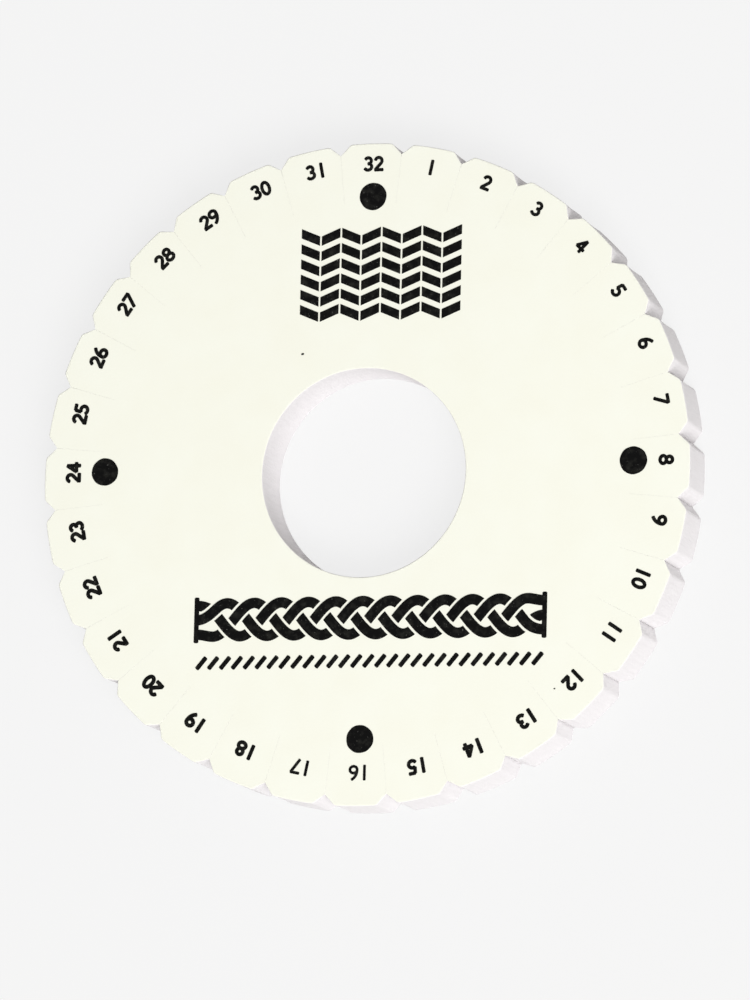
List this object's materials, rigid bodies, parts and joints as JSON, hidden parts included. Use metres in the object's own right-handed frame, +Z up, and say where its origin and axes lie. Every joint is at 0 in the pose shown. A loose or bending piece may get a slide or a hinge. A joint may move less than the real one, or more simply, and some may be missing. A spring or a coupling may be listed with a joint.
{
  "type": "kumihimo disk",
  "caption": "Round foam braiding disk with a centre hole and numbered cord slots cut around its rim, used in the hand to make kumihimo braids.",
  "frame": {"origin": "centre of the hole, on the underside that lies on the table", "axes": "+Z up through the hole and out of the printed face, +Y towards numeral 32, +X towards numeral 8"},
  "size_m": [0.108, 0.108, 0.0101],
  "materials": {
    "foam": "matte closed-cell EVA foam, cream white",
    "ink": "matte black screen-printed ink"
  },
  "bodies": {
    "root": {"foam_disk": "foam", "ink_dot_north": "ink", "ink_dot_east": "ink", "ink_dot_south": "ink", "ink_dot_west": "ink"}
  },
  "joints": []
}
